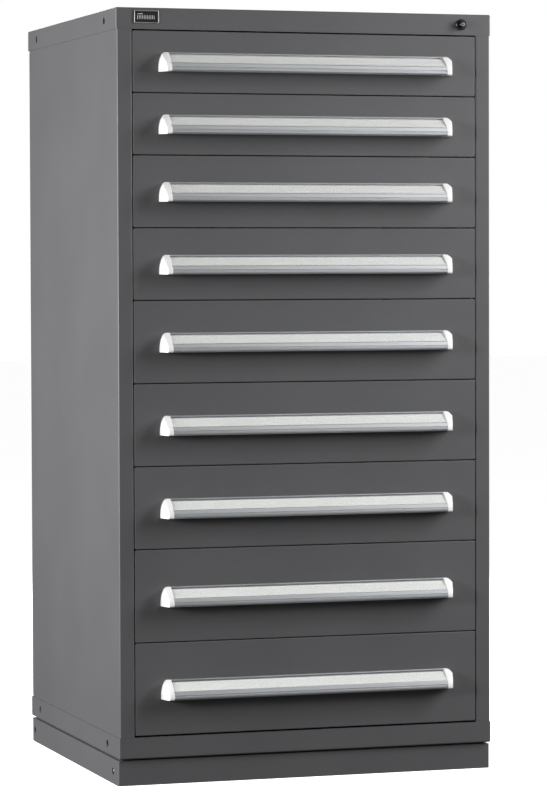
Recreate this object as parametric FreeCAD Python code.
"""Nine-drawer industrial storage cabinet in folded sheet steel, modelled piece by piece.

Millimetres, +Z up, +X to the right of someone facing the drawers, drawers open towards -Y.
The origin is on the floor, under the centre of the whole object, handles included.
"""
import FreeCAD, Part
import math
import os

# ---- driving dimensions -------------------------------------------------------------------
# housing
housing_width = 768.0
housing_depth = 705.0
overall_height = 1499.0
base_height = 49.0            # plinth walls
base_riser = 3.5              # shadow gap between plinth and housing
base_inset = 8.0              # plinth stands back from the front and rear faces
rail_height = 41.3            # front face of the top cap and of the bottom pan
post_width = 29.5             # visible width of each front post
post_inset = 2.0              # the cap and the pan stand this much proud of the side panels
fold_overlap = 5.0            # where a flange runs into the wall that it is folded from
relief_notch = 4.0            # relief cut at the rear corners of the side panels

# sheet thicknesses and folds
cap_sheet = 2.0
panel_sheet = 1.5
base_sheet = 2.5
front_sheet = 1.5
pan_sheet = 1.2
upright_sheet = 1.5
rail_sheet = 2.0
fold_radius = 1.0             # inside radius of a sheet fold

# gaps
seam = 1.6                    # round every drawer front
fit_gap = 0.5                 # between nested sheet-metal shells
running_gap = 0.3             # roller to track

# drawers, from the top one down: height of each drawer space, seam included,
# which stretch or shrink together where the housing's opening changes
drawer_pitches = [119.4, 119.4, 139.7, 139.7, 160.0, 160.0, 160.0, 180.3, 180.3]
top_margin = 1.8              # from the top rail down to the middle of the nearest seam
bottom_margin = 2.55          # from the bottom rail up to the middle of the nearest seam
front_depth = 18.0            # folded depth of a drawer front
front_corner = 3.0            # rounded corners of a drawer front, seen from the front
rear_room = 46.5              # from the rear of a closed drawer pan to the housing's rear face
pan_above_floor = 6.0         # underside of the pan above the bottom edge of its front
pan_below_top = 10.0          # rim of the pan below the top edge of its front
rim_thickness = 3.0
rim_height = 8.0
slot_pitch = 50.8             # divider slots in the pan walls
slot_width = 3.0
slot_margin = 6.0             # a divider slot stops this far from the runner and the rim
slot_end_room = 60.0          # plain wall kept at the two ends of a row of divider slots

# handle extrusion and its moulded ends
handle_margin = 51.0          # from the side of a drawer front to the end of its handle
handle_height = 37.5
handle_projection = 33.0
handle_lower = 1.0            # middle of the handle below the middle of its front
end_cap_width = 18.6
end_cap_flare = 9.0           # the outer side of an end cap leans in towards its nose
end_cap_corner = 12.0         # width of the rounded top outer corner
end_cap_corner_drop = 32.0    # height of that corner

# slides
upright_room = 6.0            # from the drawer fronts' returns back to the front uprights
slide_room = 6.0              # from there back to the front ends of the slides
upright_depth = 40.0
upright_width = 28.0
upright_slot_pitch = 25.4
upright_slot = (4.0, 12.0)    # width and height of one hanging slot
upright_slot_start = 10.0     # lowest slot above the bottom pan
upright_plain_end = 40.0      # height without slots, both ends together
rail_width = 14.0
rail_head_room = 6.0          # above the carriage inside the fixed rail
rail_foot_room = 1.7          # under the fixed rail's own roller
slide_step = 2.0              # sideways gap between the members of a slide
carriage_web = 18.0
carriage_sheet = 2.0
carriage_end = 2.0            # the carriage stops this much short of the fixed rail's ends
wheel_step = 1.0              # sideways gap between a roller and the web that carries it
roller_radius = 10.0
roller_width = 8.0
axle_radius = 3.0
axle_gap = 0.1
roller_inset = 15.0           # roller centre from the end of the member that carries it
slide_above_floor = 8.0       # underside of the fixed rail above the bottom edge of the front

# ganging, anchoring and lock
gang_hole_radius = 7.0
cap_hole_insets = (88.0, 75.0)   # ganging holes, from the housing's front and rear faces
base_hole_insets = (46.0, 29.0)
anchor_hole_radius = 7.0
anchor_inset = 90.0           # anchor holes from the plinth's front and rear faces
plinth_flange = 40.0
bolt_radius = 4.0
bolt_head_radius = 6.5
bolt_head = 5.0
bolt_inset = 140.0            # plinth bolts from the plinth's front and rear faces
rivet_head_radius = 4.0
rivet_head = 1.2
rivet_rows = 6
rivet_end = 60.0              # first and last rivet from the ends of the rear flange
lock_from_side = 62.0         # lock axis from the right side of the cap
lock_barrel_wall = 2.4
lock_flange_lip = 1.5
lock_flange_proud = 3.0
lock_barrel_length = 18.0
lock_nut = (3.0, 4.0)         # how far the nut stands out round the barrel, and its thickness
plunger_radius = 7.0
plunger_gap = 0.1
plunger_out = 13.0            # how far the plunger stands out when the drawers are free
lock_travel = 12.0
wedge_gap = 0.5
bar_width = 10.0
bar_room = 5.0                # from the post's return to the lock bar
arm_sheet = 4.0
arm_drop = 1.5                # underside of the arm below the lock bar's full travel
arm_length = 18.0             # arm and wedge block behind the tip of the plunger's wedge
keyway = (6.4, 1.8, 1.0)      # length, width and depth of the slot in the plunger's end
hook_front = 8.0              # front of the lock hooks behind the front faces
hook_above_middle = 8.0
hook_height = 8.0
hook_thickness = 5.0
hook_clearance = 1.0
plate_size = (49.0, 24.0)
plate_from_side = 36.0
plate_above_middle = 3.0
plate_thickness = 1.6
plate_edge = 1.6
plate_recess = 0.6

# ---- places worked out from the driving dimensions ------------------------------------------
whole_depth = housing_depth + handle_projection
front_y = handle_projection - whole_depth / 2
rear_y = front_y + housing_depth
half_width = housing_width / 2
base_top = base_height + base_riser
pan_top = base_top + rail_height
cap_bottom = overall_height - rail_height
cap_mid = overall_height - rail_height / 2
opening_height = cap_bottom - pan_top
opening_half = half_width - post_inset - post_width      # inner edge of a front post
front_half = opening_half - seam                         # half width of a drawer front
pitch_scale = (opening_height - top_margin - bottom_margin) / sum(drawer_pitches)
handle_length = 2 * (front_half - handle_margin)
fold_return = front_depth + 2.0                          # returns of the posts and the rails

upright_outer = half_width - post_inset - panel_sheet - fit_gap
upright_inner = upright_outer - upright_width
rail_inner = upright_inner - rail_width
carriage_web_outer = rail_inner - slide_step
carriage_web_inner = carriage_web_outer - carriage_sheet
pan_half = carriage_web_inner - rail_width
upright_front_y = front_y + front_depth + upright_room
slide_front = upright_front_y + slide_room
pan_front = front_y + front_depth + fit_gap
pan_rear = rear_y - rear_room
drawer_length = pan_rear - pan_front
slide_rear = slide_front + drawer_length
rail_section = (
    2 * rail_sheet + rail_foot_room + 2 * roller_radius + running_gap + carriage_sheet + rail_head_room
)
lock_x = half_width - lock_from_side
lock_barrel_radius = plunger_radius + plunger_gap + lock_barrel_wall
lock_flange_radius = lock_barrel_radius + lock_flange_lip
lock_bar_x = (opening_half + panel_sheet + bar_room, opening_half + panel_sheet + bar_room + bar_width)
wedge_tip = fold_return + 10.0                           # behind the front face, on the lock's axis


def drawer_spaces():
    """Bottom and top edge of each drawer front, from the top drawer down."""
    spaces = []
    top = cap_bottom - top_margin
    for pitch in drawer_pitches:
        bottom = top - pitch * pitch_scale
        spaces.append((bottom + seam / 2, top - seam / 2))
        top = bottom
    return spaces


# ---- shape helpers --------------------------------------------------------------------------
def box(x0, x1, y0, y1, z0, z1):
    return Part.makeBox(x1 - x0, y1 - y0, z1 - z0, FreeCAD.Vector(x0, y0, z0))


def cylinder(start, axis, radius, length):
    return Part.makeCylinder(radius, length, FreeCAD.Vector(*start), FreeCAD.Vector(*axis))


def fuse_all(shapes):
    whole = shapes[0]
    if len(shapes) > 1:
        whole = whole.multiFuse(shapes[1:])
    return whole.removeSplitter()


def cut_all(shape, cutters):
    return shape.cut(cutters) if cutters else shape


def mirror_x(shape):
    return shape.mirror(FreeCAD.Vector(0, 0, 0), FreeCAD.Vector(1, 0, 0))


def both_sides(shapes):
    """The given right-hand shapes and their left-hand twins."""
    return shapes + [mirror_x(shape) for shape in shapes]


def outline(points, place):
    """Closed wire through (u, v, corner radius) points; place turns (u, v) into a vector."""
    edges = []
    start = None
    previous = None
    count = len(points)
    for index in range(count):
        u, v, radius = points[index]
        corner = FreeCAD.Vector(u, v, 0)
        back = FreeCAD.Vector(*points[index - 1][:2], 0) - corner
        ahead = FreeCAD.Vector(*points[(index + 1) % count][:2], 0) - corner
        back.normalize()
        ahead.normalize()
        if radius > 0:
            half_angle = back.getAngle(ahead) / 2
            reach = radius / math.tan(half_angle)
            middle = back + ahead
            middle.normalize()
            centre = corner + middle * (radius / math.sin(half_angle))
            first = corner + back * reach
            last = corner + ahead * reach
            bulge = centre - middle * radius
            arc = Part.Arc(*[place(p.x, p.y) for p in (first, bulge, last)]).toShape()
        else:
            first = last = corner
            arc = None
        if previous is None:
            start = first
        else:
            edges.append(Part.LineSegment(place(previous.x, previous.y), place(first.x, first.y)).toShape())
        if arc is not None:
            edges.append(arc)
        previous = last
    edges.append(Part.LineSegment(place(previous.x, previous.y), place(start.x, start.y)).toShape())
    return Part.Wire(edges)


def prism(points, place, direction):
    return Part.Face(outline(points, place)).extrude(FreeCAD.Vector(*direction))


def plan_prism(points, z0, z1):
    """Plan outline in (x, y, radius), extruded upwards."""
    return prism(points, lambda u, v: FreeCAD.Vector(u, v, z0), (0, 0, z1 - z0))


def side_prism(points, x0, x1):
    """Side outline in (y, z, radius), extruded across."""
    return prism(points, lambda u, v: FreeCAD.Vector(x0, u, v), (x1 - x0, 0, 0))


def front_prism(points, y0, y1):
    """Front outline in (x, z, radius), extruded rearwards."""
    return prism(points, lambda u, v: FreeCAD.Vector(u, y0, v), (0, y1 - y0, 0))


def shell_box(x0, x1, y0, y1, z0, z1, wall, open_side, radius, corner=None):
    """Folded tray: a rounded box hollowed from one side, which is top, bottom or rear.

    With a corner radius, the four edges that run along Y get it before the folds are rounded.
    """
    outer = box(x0, x1, y0, y1, z0, z1)
    if corner:
        middle = (y0 + y1) / 2
        outer = outer.makeFillet(corner, [
            edge for edge in outer.Edges if abs(edge.CenterOfMass.y - middle) < 1e-6
            and abs(edge.Length - (y1 - y0)) < 1e-6
        ])
    rounded = []
    for edge in outer.Edges:
        centre = edge.CenterOfMass
        on_open = {
            "top": abs(centre.z - z1) < 1e-6,
            "bottom": abs(centre.z - z0) < 1e-6,
            "rear": abs(centre.y - y1) < 1e-6,
        }[open_side]
        if not on_open and not (corner and abs(centre.y - y0) > 1e-6):
            rounded.append(edge)
    outer = outer.makeFillet(radius, rounded)
    low = [x0 + wall, y0 + wall, z0 + wall]
    high = [x1 - wall, y1 - wall, z1 - wall]
    if open_side == "top":
        high[2] = z1 + wall
    if open_side == "bottom":
        low[2] = z0 - wall
    if open_side == "rear":
        high[1] = y1 + wall
    inner = box(low[0], high[0], low[1], high[1], low[2], high[2])
    return outer.cut(inner)


def save(name, solids):
    """Write one node's STEP file, after checking that every solid in it is sound."""
    shape = solids[0] if len(solids) == 1 else Part.makeCompound(solids)
    found = shape.Solids
    for solid in found:
        if not solid.isValid() or solid.Volume <= 0:
            raise ValueError(f"{name} holds a bad solid")
    shape.exportStep(f"parts/{name}.step")
    print(f"{name}: {len(found)} solid(s), {sum(s.Volume for s in found) / 1000:.1f} cm3")


# ---- housing --------------------------------------------------------------------------------
def gang_cutters(side, insets, height, reach):
    """Round holes through the side walls at one height, on the side given as -1 or 1."""
    start_x = side * (half_width + 1)
    holes = []
    for y in (front_y + insets[0], rear_y - insets[1]):
        holes.append(cylinder((start_x, y, height), (-side, 0, 0), gang_hole_radius, reach + 1))
    return holes


def cap_and_pan_holes(side):
    reach = cap_sheet + panel_sheet + fit_gap + 1
    holes = []
    for height in (cap_mid, base_top + rail_height / 2):
        holes += gang_cutters(side, cap_hole_insets, height, reach)
    return holes


def bar_slot(z0, z1):
    """Room for the lock bar and its arm in the cap's front return."""
    return box(
        lock_bar_x[0] - 2, lock_bar_x[1] + 2, front_y + 4, front_y + fold_return + 1, z0, z1
    )


def top_cap():
    body = shell_box(
        -half_width, half_width, front_y, rear_y, cap_bottom, overall_height,
        cap_sheet, "bottom", cap_sheet + fold_radius,
    )
    lip = box(
        -half_width + cap_sheet, half_width - cap_sheet, front_y + cap_sheet / 2,
        front_y + fold_return, cap_bottom, cap_bottom + cap_sheet,
    )
    # the side panels pass the ends of the lip
    side_room = post_inset + panel_sheet + fit_gap
    ends = both_sides([
        box(half_width - side_room, half_width - cap_sheet, front_y + cap_sheet,
            front_y + fold_return + 1, cap_bottom - 1, cap_bottom + cap_sheet + 1)
    ])
    lip = lip.cut(ends)
    cutters = cap_and_pan_holes(-1) + cap_and_pan_holes(1)
    cutters.append(bar_slot(cap_bottom - 1, cap_bottom + cap_sheet + 1))
    cutters.append(cylinder(
        (lock_x, front_y - 1, cap_mid), (0, 1, 0), lock_barrel_radius + plunger_gap, cap_sheet + 2
    ))
    return cut_all(fuse_all([body, lip]), cutters)


def bottom_pan():
    body = shell_box(
        -half_width, half_width, front_y, rear_y, base_top, pan_top,
        cap_sheet, "top", cap_sheet + fold_radius,
    )
    lip = box(
        -half_width + cap_sheet, half_width - cap_sheet, front_y + cap_sheet / 2,
        front_y + fold_return, pan_top - cap_sheet, pan_top,
    )
    side_room = post_inset + panel_sheet + fit_gap
    ends = both_sides([
        box(half_width - side_room, half_width - cap_sheet, front_y + cap_sheet,
            front_y + fold_return + 1, pan_top - cap_sheet - 1, pan_top + 1)
    ])
    lip = lip.cut(ends)
    cutters = cap_and_pan_holes(-1) + cap_and_pan_holes(1)
    for x, y in bolt_places():
        cutters.append(cylinder((x, y, base_top - 1), (0, 0, 1), bolt_radius + fit_gap, cap_sheet + 2))
    return cut_all(fuse_all([body, lip]), cutters)


def side_panel_right():
    """Side wall, front post and rear flange folded from one sheet."""
    wall_x = half_width - post_inset
    low = base_top + cap_sheet + fit_gap
    high = overall_height - cap_sheet - fit_gap
    behind_front = front_y + cap_sheet + fit_gap
    rear = rear_y - cap_sheet
    wall = box(wall_x - panel_sheet, wall_x, behind_front, rear - 2 * panel_sheet, low, high)
    outside = panel_sheet + fold_radius
    post = plan_prism([
        (wall_x, front_y, outside),
        (wall_x, behind_front + fold_overlap, 0),
        (wall_x - panel_sheet, behind_front + fold_overlap, 0),
        (wall_x - panel_sheet, front_y + panel_sheet, fold_radius),
        (opening_half + panel_sheet, front_y + panel_sheet, fold_radius),
        (opening_half + panel_sheet, front_y + fold_return, 0),
        (opening_half, front_y + fold_return, 0),
        (opening_half, front_y, outside),
    ], pan_top + 0.2, cap_bottom - 0.2)
    flange = plan_prism([
        (wall_x, rear - 2 * panel_sheet - fold_overlap, 0),
        (wall_x, rear, outside),
        (wall_x - post_width, rear, 0),
        (wall_x - post_width, rear - panel_sheet, 0),
        (wall_x - panel_sheet, rear - panel_sheet, fold_radius),
        (wall_x - panel_sheet, rear - 2 * panel_sheet - fold_overlap, 0),
    ], low, high)
    # relief notches at the rear corners, where cap and pan meet the fold
    notches = [
        box(wall_x - relief_notch, wall_x + 1, rear - relief_notch, rear + 1, low, low + relief_notch)
        for low in (cap_bottom - relief_notch - fit_gap, pan_top + fit_gap)
    ]
    panel = fuse_all([wall, post, flange])
    return cut_all(panel, cap_and_pan_holes(1) + notches)


def hook_windows():
    """Slots in the right post's return that the lock hooks reach through."""
    windows = []
    for bottom, top in drawer_spaces():
        hook = hook_bottom(bottom, top)
        windows.append(box(
            opening_half - 1, opening_half + panel_sheet + 1,
            front_y + hook_front - 2 * hook_clearance,
            front_y + hook_front + hook_thickness + 2 * hook_clearance,
            hook - lock_travel - 2 * hook_clearance, hook + hook_height + 2 * hook_clearance,
        ))
    return windows


def back_panel():
    rear = rear_y - cap_sheet - panel_sheet
    inset = post_inset + panel_sheet + fold_radius + fit_gap
    return box(
        -half_width + inset, half_width - inset, rear - panel_sheet, rear,
        base_top + cap_sheet + fit_gap, overall_height - cap_sheet - fit_gap,
    )


def base_plinth():
    front = front_y + base_inset
    rear = rear_y - base_inset
    flange = plinth_flange
    walls = box(-half_width, half_width, front, rear, 0, base_height)
    upright_edges = []
    for edge in walls.Edges:
        if abs(edge.CenterOfMass.z - base_height / 2) < 1e-6:
            upright_edges.append(edge)
    walls = walls.makeFillet(base_sheet + fold_radius, upright_edges)
    walls = walls.cut([
        box(-half_width + base_sheet, half_width - base_sheet, front + base_sheet,
            rear - base_sheet, base_sheet, base_height - base_sheet),
        box(-half_width + flange, half_width - flange, front + flange, rear - flange,
            -1, base_height + 1),
    ])
    riser = box(
        -half_width + base_inset, half_width - base_inset, front + base_inset,
        rear - base_inset, base_height - base_sheet, base_top,
    ).cut(box(
        -half_width + flange, half_width - flange, front + flange, rear - flange,
        0, base_top + 1,
    ))
    cutters = []
    for side in (-1, 1):
        cutters += gang_cutters(side, base_hole_insets, base_height / 2, base_sheet + 1)
    for x in (-half_width + flange / 2, half_width - flange / 2):
        for y in (front + anchor_inset, rear - anchor_inset):
            cutters.append(cylinder((x, y, -1), (0, 0, 1), anchor_hole_radius, base_sheet + 2))
    for x, y in bolt_places():
        start = (x, y, base_height - base_sheet - 1)
        cutters.append(cylinder(start, (0, 0, 1), bolt_radius + fit_gap, base_riser + base_sheet + 2))
    return cut_all(fuse_all([walls, riser]), cutters)


def bolt_places():
    """Where the plinth is bolted to the bottom pan, in the middle of the riser."""
    x = half_width - (plinth_flange + base_inset) / 2
    y_front = front_y + base_inset + bolt_inset
    y_rear = rear_y - base_inset - bolt_inset
    return [(side * x, y) for side in (-1, 1) for y in (y_front, y_rear)]


def housing_fasteners():
    solids = []
    for x, y in bolt_places():
        top = base_top + cap_sheet
        head = Part.Face(Part.makePolygon([
            FreeCAD.Vector(
                x + bolt_head_radius * math.cos(math.radians(60 * step)),
                y + bolt_head_radius * math.sin(math.radians(60 * step)),
                top,
            )
            for step in range(7)
        ])).extrude(FreeCAD.Vector(0, 0, bolt_head))
        low = base_height - base_sheet - 8
        shank = cylinder((x, y, low), (0, 0, 1), bolt_radius, top + 1 - low)
        solids.append(fuse_all([head, shank]))
    rivet_x = half_width - post_inset - post_width / 2
    low = pan_top + rivet_end
    step = (cap_bottom - pan_top - 2 * rivet_end) / (rivet_rows - 1)
    for side in (-1, 1):
        for row in range(rivet_rows):
            place = (side * rivet_x, rear_y - cap_sheet, low + row * step)
            solids.append(cylinder(place, (0, 1, 0), rivet_head_radius, rivet_head))
    return solids


def upright_right(y0):
    """Perforated column with a channel section, its web towards the drawers."""
    low = base_top + cap_sheet + fit_gap
    high = cap_bottom - fit_gap
    outside = upright_sheet + fold_radius
    y1 = y0 + upright_depth
    column = plan_prism([
        (upright_outer, y0, 0),
        (upright_outer, y0 + upright_sheet, 0),
        (upright_inner + upright_sheet, y0 + upright_sheet, fold_radius),
        (upright_inner + upright_sheet, y1 - upright_sheet, fold_radius),
        (upright_outer, y1 - upright_sheet, 0),
        (upright_outer, y1, 0),
        (upright_inner, y1, outside),
        (upright_inner, y0, outside),
    ], low, high)
    count = int((high - low - upright_plain_end) / upright_slot_pitch)
    middle = y0 + upright_depth / 2
    slots = []
    for index in range(count):
        z = pan_top + upright_slot_start + index * upright_slot_pitch
        slots.append(box(
            upright_inner - 1, upright_inner + upright_sheet + 0.5,
            middle - upright_slot[0] / 2, middle + upright_slot[0] / 2, z, z + upright_slot[1],
        ))
    return column.cut(slots)


# ---- slides ---------------------------------------------------------------------------------
def roller(x0, y, z, radius):
    """Roller on an axle along X, starting at x0."""
    wheel = cylinder((x0, y, z), (1, 0, 0), radius, roller_width)
    return wheel.cut(cylinder((x0 - 1, y, z), (1, 0, 0), axle_radius + axle_gap, roller_width + 2))


def fixed_rail_right(rail_z):
    """Channel that hangs on the uprights, and the roller at its front end."""
    top = rail_z + rail_section
    outside = rail_sheet + fold_radius
    channel = front_prism([
        (rail_inner, rail_z, 0),
        (upright_inner, rail_z, outside),
        (upright_inner, top, outside),
        (rail_inner, top, 0),
        (rail_inner, top - rail_sheet, 0),
        (upright_inner - rail_sheet, top - rail_sheet, fold_radius),
        (upright_inner - rail_sheet, rail_z + rail_sheet, fold_radius),
        (rail_inner, rail_z + rail_sheet, 0),
    ], slide_front, slide_rear)
    wheel_x = upright_inner - rail_sheet - wheel_step - roller_width
    wheel_y = slide_front + roller_inset
    wheel_z = carriage_flange_z(rail_z) - running_gap - roller_radius
    axle = cylinder((wheel_x, wheel_y, wheel_z), (1, 0, 0), axle_radius, upright_inner - 0.5 - wheel_x)
    channel = fuse_all([channel, axle])
    return [channel, roller(wheel_x, wheel_y, wheel_z, roller_radius)]


def carriage_flange_z(rail_z):
    """Underside of the carriage's outer flange, which rides on the fixed roller."""
    return rail_z + rail_section - rail_sheet - rail_head_room - carriage_sheet


def carriage_floor_z(rail_z):
    """Underside of the carriage's inner flange."""
    return carriage_flange_z(rail_z) + carriage_sheet - carriage_web


def carriage_right(rail_z):
    """Z-section slide member: outer flange in the fixed rail, inner flange under the drawer."""
    high = carriage_flange_z(rail_z)
    low = carriage_floor_z(rail_z)
    outer_tip = upright_inner - rail_sheet - slide_step
    inner_tip = pan_half + slide_step
    outside = carriage_sheet + fold_radius
    member = front_prism([
        (outer_tip, high, 0),
        (outer_tip, high + carriage_sheet, 0),
        (carriage_web_inner, high + carriage_sheet, outside),
        (carriage_web_inner, low + carriage_sheet, fold_radius),
        (inner_tip, low + carriage_sheet, 0),
        (inner_tip, low, 0),
        (carriage_web_outer, low, outside),
        (carriage_web_outer, high, fold_radius),
    ], slide_front + carriage_end, slide_rear - carriage_end)
    outer_y = slide_rear - carriage_end - roller_inset
    outer_r = (high - running_gap - (rail_z + rail_sheet + running_gap)) / 2
    outer_z = rail_z + rail_sheet + running_gap + outer_r
    outer_x = upright_inner - rail_sheet - wheel_step - roller_width
    outer_axle = cylinder((carriage_web_inner + 0.5, outer_y, outer_z), (1, 0, 0), axle_radius,
                          outer_x + roller_width - carriage_web_inner - 0.5)
    inner_y = slide_front + carriage_end + roller_inset
    inner_z = low + carriage_sheet + running_gap + roller_radius
    inner_x = carriage_web_inner - wheel_step - roller_width
    inner_axle = cylinder((inner_x, inner_y, inner_z), (1, 0, 0), axle_radius,
                          carriage_web_outer - 0.5 - inner_x)
    return [
        fuse_all([member, outer_axle, inner_axle]),
        roller(outer_x, outer_y, outer_z, outer_r),
        roller(inner_x, inner_y, inner_z, roller_radius),
    ]


# ---- drawers --------------------------------------------------------------------------------
def rail_level(bottom):
    return bottom + slide_above_floor


def drawer_pan(bottom, top):
    """Tub with a thick rim, divider slots, side runners and the rollers at its rear."""
    low = bottom + pan_above_floor
    high = top - pan_below_top
    tub = box(-pan_half, pan_half, pan_front, pan_rear, low, high)
    tub = tub.cut([
        box(-pan_half + pan_sheet, pan_half - pan_sheet, pan_front + pan_sheet,
            pan_rear - pan_sheet, low + pan_sheet, high - rim_height),
        box(-pan_half + rim_thickness, pan_half - rim_thickness, pan_front + rim_thickness,
            pan_rear - rim_thickness, low + pan_sheet, high + 1),
    ])
    slots = []
    runner_z = carriage_floor_z(rail_level(bottom)) + carriage_sheet + 2 * (running_gap + roller_radius)
    slot_low = runner_z + rail_sheet + slot_margin
    slot_high = high - rim_height - slot_margin
    slot_count = int((drawer_length - slot_end_room) / slot_pitch)
    first = (pan_front + pan_rear - slot_count * slot_pitch) / 2
    for index in range(slot_count + 1):
        y = first + index * slot_pitch
        slots.append(box(-pan_half - 1, pan_half + 1, y - slot_width / 2, y + slot_width / 2,
                         slot_low, slot_high))
    tub = tub.cut(slots)
    runner_edge = carriage_web_inner - slide_step
    wheel_y = pan_rear - roller_inset
    wheel_z = runner_z - running_gap - roller_radius
    wheel_x = pan_half + slide_step
    runner = box(pan_half - pan_sheet / 2, runner_edge, pan_front, pan_rear,
                 runner_z, runner_z + rail_sheet)
    axle = cylinder((pan_half - pan_sheet / 2, wheel_y, wheel_z), (1, 0, 0), axle_radius,
                    wheel_x + roller_width - pan_half + pan_sheet / 2)
    fixed = both_sides([runner, axle])
    wheels = both_sides([roller(wheel_x, wheel_y, wheel_z, roller_radius - running_gap)])
    return [fuse_all([tub] + fixed)] + wheels


def hook_bottom(bottom, top):
    """Underside of the lock hook at this drawer while the drawers are free."""
    return (bottom + top) / 2 + hook_above_middle


def drawer_front(bottom, top):
    """Folded front with returns, and the catch that the lock hook drops into."""
    tray = shell_box(
        -front_half, front_half, front_y, front_y + front_depth, bottom, top,
        front_sheet, "rear", front_sheet, front_corner,
    )
    hook = hook_bottom(bottom, top)
    near = front_y + hook_front - hook_clearance
    far = front_y + hook_front + hook_thickness + hook_clearance
    entry = box(front_half - 3, front_half + 1, near, front_y + front_depth + 1,
                hook - hook_clearance, hook + hook_height + hook_clearance)
    pocket = box(front_half - 3, front_half + 1, near, far,
                 hook - lock_travel - hook_clearance, hook)
    return tray.cut([entry, pocket])


def handle_outline(bottom, top):
    """Section of the extrusion in (y, z, radius): lip, groove, label seat, nose and finger grip."""
    level = (bottom + top) / 2 + handle_height / 2 - handle_lower
    reach = handle_projection
    drop = handle_height
    section = [
        (0.0, 0.0, 0.4), (6.5, 0.0, 1.0), (6.5, 2.6, 1.0), (3.2, 2.6, 0.4), (3.2, 5.0, 0.4),
        (6.6, 5.0, 0.3), (reach - 5.4, drop - 16.1, 0.2), (reach - 4.5, drop - 17.0, 0.4),
        (reach - 3.2, drop - 15.8, 0.6), (reach - 1.6, drop - 9.2, 0.3), (reach - 2.6, drop - 8.8, 0.2),
        (reach - 2.4, drop - 7.2, 0.2), (reach, drop - 6.8, 0.8), (reach, drop - 3.0, 1.0),
        (reach - 3.0, drop, 1.8), (reach - 11.0, drop, 0.8), (reach - 11.0, drop - 1.9, 0.4),
        (reach - 4.0, drop - 2.2, 1.0), (reach - 4.6, drop - 12.0, 1.0), (reach - 6.8, drop - 14.2, 1.0),
        (5.6, 7.4, 0.6), (2.4, 7.4, 0.6), (2.4, drop - 11.5, 0.4), (0.0, drop - 11.5, 0.4),
    ]
    return [(front_y - out, level - down, radius) for out, down, radius in section]


def drawer_handle(bottom, top):
    half = handle_length / 2 - end_cap_width
    return side_prism(handle_outline(bottom, top), -half, half)


def end_cap_right(bottom, top):
    """Moulded end: side, front and plan outlines intersected."""
    level = (bottom + top) / 2 + handle_height / 2 - handle_lower
    outer = handle_length / 2
    inner = outer - end_cap_width
    reach = handle_projection
    drop = handle_height

    def at(out, down):
        return FreeCAD.Vector(inner, front_y - out, level - down)

    brow = Part.Arc(at(6.5, 0), at(reach * 0.62, drop * 0.31), at(reach - 2.0, drop * 0.67)).toShape()
    chin_start = at(reach, drop - 3.0)
    chin_end = at(reach - 3.0, drop)
    chin_mid = at(reach - 0.9, drop - 0.9)
    side = Part.Face(Part.Wire([
        Part.LineSegment(at(0, 0), at(6.5, 0)).toShape(),
        brow,
        Part.LineSegment(at(reach - 2.0, drop * 0.67), at(reach, drop * 0.8)).toShape(),
        Part.LineSegment(at(reach, drop * 0.8), chin_start).toShape(),
        Part.Arc(chin_start, chin_mid, chin_end).toShape(),
        Part.LineSegment(chin_end, at(0, drop)).toShape(),
        Part.LineSegment(at(0, drop), at(0, 0)).toShape(),
    ])).extrude(FreeCAD.Vector(end_cap_width, 0, 0))

    # rounded top outer corner: a quarter ellipse seen from the front
    def on_front(x, down):
        return FreeCAD.Vector(x, front_y + 1, level - down)

    shoulder = outer - end_cap_corner
    ellipse = Part.Ellipse(
        on_front(shoulder, 0), on_front(outer, end_cap_corner_drop),
        on_front(shoulder, end_cap_corner_drop),
    )
    corner = Part.ArcOfEllipse(ellipse, 0, math.pi / 2).toShape()
    face = Part.Face(Part.Wire([
        Part.LineSegment(on_front(inner, 0), on_front(shoulder, 0)).toShape(),
        corner,
        Part.LineSegment(on_front(outer, end_cap_corner_drop), on_front(outer, drop)).toShape(),
        Part.LineSegment(on_front(outer, drop), on_front(inner, drop)).toShape(),
        Part.LineSegment(on_front(inner, drop), on_front(inner, 0)).toShape(),
    ])).extrude(FreeCAD.Vector(0, -reach - 2, 0))

    def on_plan(x, out):
        return FreeCAD.Vector(x, front_y - out, level - drop - 1)

    flare = Part.Arc(
        on_plan(outer, 0), on_plan(outer - end_cap_flare * 0.48, reach * 0.55),
        on_plan(outer - end_cap_flare, reach),
    ).toShape()
    plan = Part.Face(Part.Wire([
        flare,
        Part.LineSegment(on_plan(outer - end_cap_flare, reach), on_plan(inner, reach)).toShape(),
        Part.LineSegment(on_plan(inner, reach), on_plan(inner, 0)).toShape(),
        Part.LineSegment(on_plan(inner, 0), on_plan(outer, 0)).toShape(),
    ])).extrude(FreeCAD.Vector(0, 0, drop + 2))
    return side.common(face).common(plan)


# ---- lock -----------------------------------------------------------------------------------
def lock_housing():
    flange = cylinder((lock_x, front_y - lock_flange_proud, cap_mid), (0, 1, 0),
                      lock_flange_radius, lock_flange_proud)
    flange = flange.makeChamfer(0.8, [
        edge for edge in flange.Edges
        if abs(edge.CenterOfMass.y - (front_y - lock_flange_proud)) < 1e-6
    ])
    barrel = cylinder((lock_x, front_y - 1, cap_mid), (0, 1, 0), lock_barrel_radius,
                      lock_barrel_length + 1)
    nut = cylinder((lock_x, front_y + cap_sheet, cap_mid), (0, 1, 0),
                   lock_barrel_radius + lock_nut[0], lock_nut[1])
    bore = cylinder((lock_x, front_y - 10, cap_mid), (0, 1, 0), plunger_radius + plunger_gap, 40.0)
    return fuse_all([flange, barrel, nut]).cut(bore)


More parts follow.
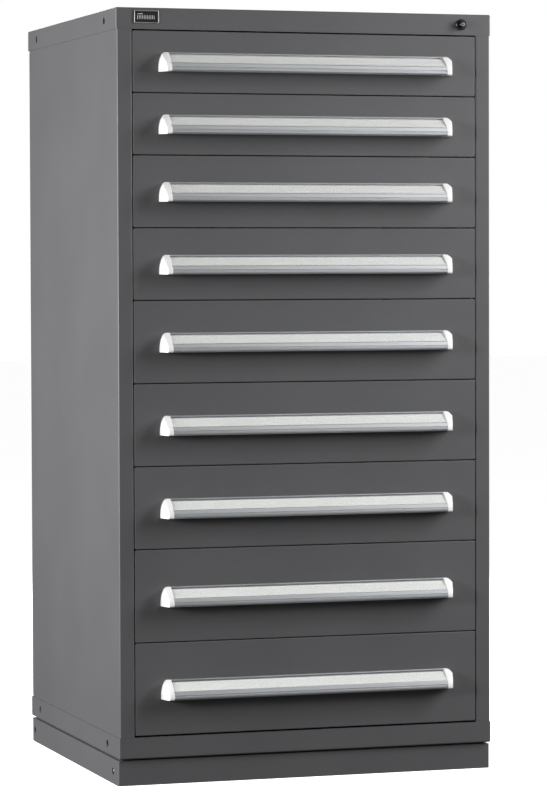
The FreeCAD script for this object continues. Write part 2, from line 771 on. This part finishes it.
def lock_plunger():
    """Push-button of the lock; its 45 degree rear face drives the lock bar down."""
    start = front_y - plunger_out
    stem = cylinder((lock_x, start, cap_mid), (0, 1, 0), plunger_radius,
                    plunger_out + wedge_tip + plunger_radius)
    stem = stem.makeChamfer(0.8, [
        edge for edge in stem.Edges if abs(edge.CenterOfMass.y - start) < 1e-6
    ])
    far = wedge_tip + 3 * plunger_radius
    wedge = prism([
        (front_y + wedge_tip - 2 * plunger_radius, cap_mid - 2 * plunger_radius, 0),
        (front_y + far, cap_mid - 2 * plunger_radius, 0),
        (front_y + far, cap_mid + far - wedge_tip, 0),
    ], lambda u, v: FreeCAD.Vector(lock_x - 2 * plunger_radius, u, v), (4 * plunger_radius, 0, 0))
    key_slot = box(lock_x - keyway[0] / 2, lock_x + keyway[0] / 2, start - 1, start + keyway[2],
                   cap_mid - keyway[1] / 2, cap_mid + keyway[1] / 2)
    return stem.cut(wedge).cut(key_slot)


def lock_bar():
    """Vertical bar in the right post, with a hook for every drawer and the arm to the plunger."""
    y0 = front_y + hook_front
    y1 = y0 + hook_thickness
    arm_low = cap_bottom + cap_sheet + lock_travel - arm_drop
    arm_high = arm_low + arm_sheet
    pieces = [box(lock_bar_x[0], lock_bar_x[1], y0, y1, pan_top + lock_travel + 8, arm_high)]
    for bottom, top in drawer_spaces():
        hook = hook_bottom(bottom, top)
        pieces.append(box(front_half - 2.5, lock_bar_x[0] + 2, y0, y1, hook, hook + hook_height))
    arm_rear = front_y + wedge_tip + arm_length
    wedge_foot = front_y + wedge_tip + math.sqrt(2) * wedge_gap - (cap_mid - arm_low)
    block_left = lock_x - plunger_radius
    pieces.append(box(lock_bar_x[0], lock_bar_x[1], y0, arm_rear, arm_low, arm_high))
    pieces.append(box(lock_x + plunger_radius, lock_bar_x[1], front_y + fold_return + 3, arm_rear,
                      arm_low, arm_high))
    block_top = cap_mid + plunger_radius
    pieces.append(prism([
        (wedge_foot, arm_low, 0),
        (wedge_foot + block_top - arm_low, block_top, 0),
        (arm_rear, block_top, 0),
        (arm_rear, arm_low, 0),
    ], lambda u, v: FreeCAD.Vector(block_left, u, v), (2 * plunger_radius, 0, 0)))
    return fuse_all(pieces)


def nameplate():
    """Blank plate with a raised edge, on the left of the cap's front face."""
    left = -half_width + plate_from_side
    low = cap_mid + plate_above_middle - plate_size[1] / 2
    plate = box(left, left + plate_size[0], front_y - plate_thickness, front_y, low, low + plate_size[1])
    middle_y = front_y - plate_thickness / 2
    corner_edges = [edge for edge in plate.Edges if abs(edge.CenterOfMass.y - middle_y) < 1e-6]
    plate = plate.makeFillet(plate_edge, corner_edges)
    recess = box(left + plate_edge, left + plate_size[0] - plate_edge, front_y - plate_thickness - 1,
                 front_y - plate_thickness + plate_recess, low + plate_edge, low + plate_size[1] - plate_edge)
    return plate.cut(recess)


# ---- everything -----------------------------------------------------------------------------
def build():
    os.makedirs("parts", exist_ok=True)
    right_panel = side_panel_right()
    save("top_cap", [top_cap()])
    save("bottom_pan", [bottom_pan()])
    save("left_side_panel", [mirror_x(right_panel)])
    save("right_side_panel", [right_panel.cut(hook_windows())])
    save("back_panel", [back_panel()])
    save("base_plinth", [base_plinth()])
    save("housing_fasteners", housing_fasteners())

    rear_upright_y = slide_rear - upright_depth
    uprights = [upright_right(upright_front_y), upright_right(rear_upright_y)]
    save("right_uprights", uprights)
    save("left_uprights", [mirror_x(column) for column in uprights])

    rails = []
    for bottom, top in drawer_spaces():
        rails += fixed_rail_right(rail_level(bottom))
    save("right_fixed_rails", rails)
    save("left_fixed_rails", [mirror_x(rail) for rail in rails])

    save("lock_housing", [lock_housing()])
    save("lock_plunger", [lock_plunger()])
    save("lock_bar", [lock_bar()])
    save("nameplate", [nameplate()])

    for number, (bottom, top) in enumerate(drawer_spaces(), start=1):
        save(f"drawer_{number}_pan", drawer_pan(bottom, top))
        save(f"drawer_{number}_front", [drawer_front(bottom, top)])
        save(f"drawer_{number}_handle", [drawer_handle(bottom, top)])
        save(f"drawer_{number}_end_caps", both_sides([end_cap_right(bottom, top)]))
        save(f"drawer_{number}_carriages", both_sides(carriage_right(rail_level(bottom))))


build()
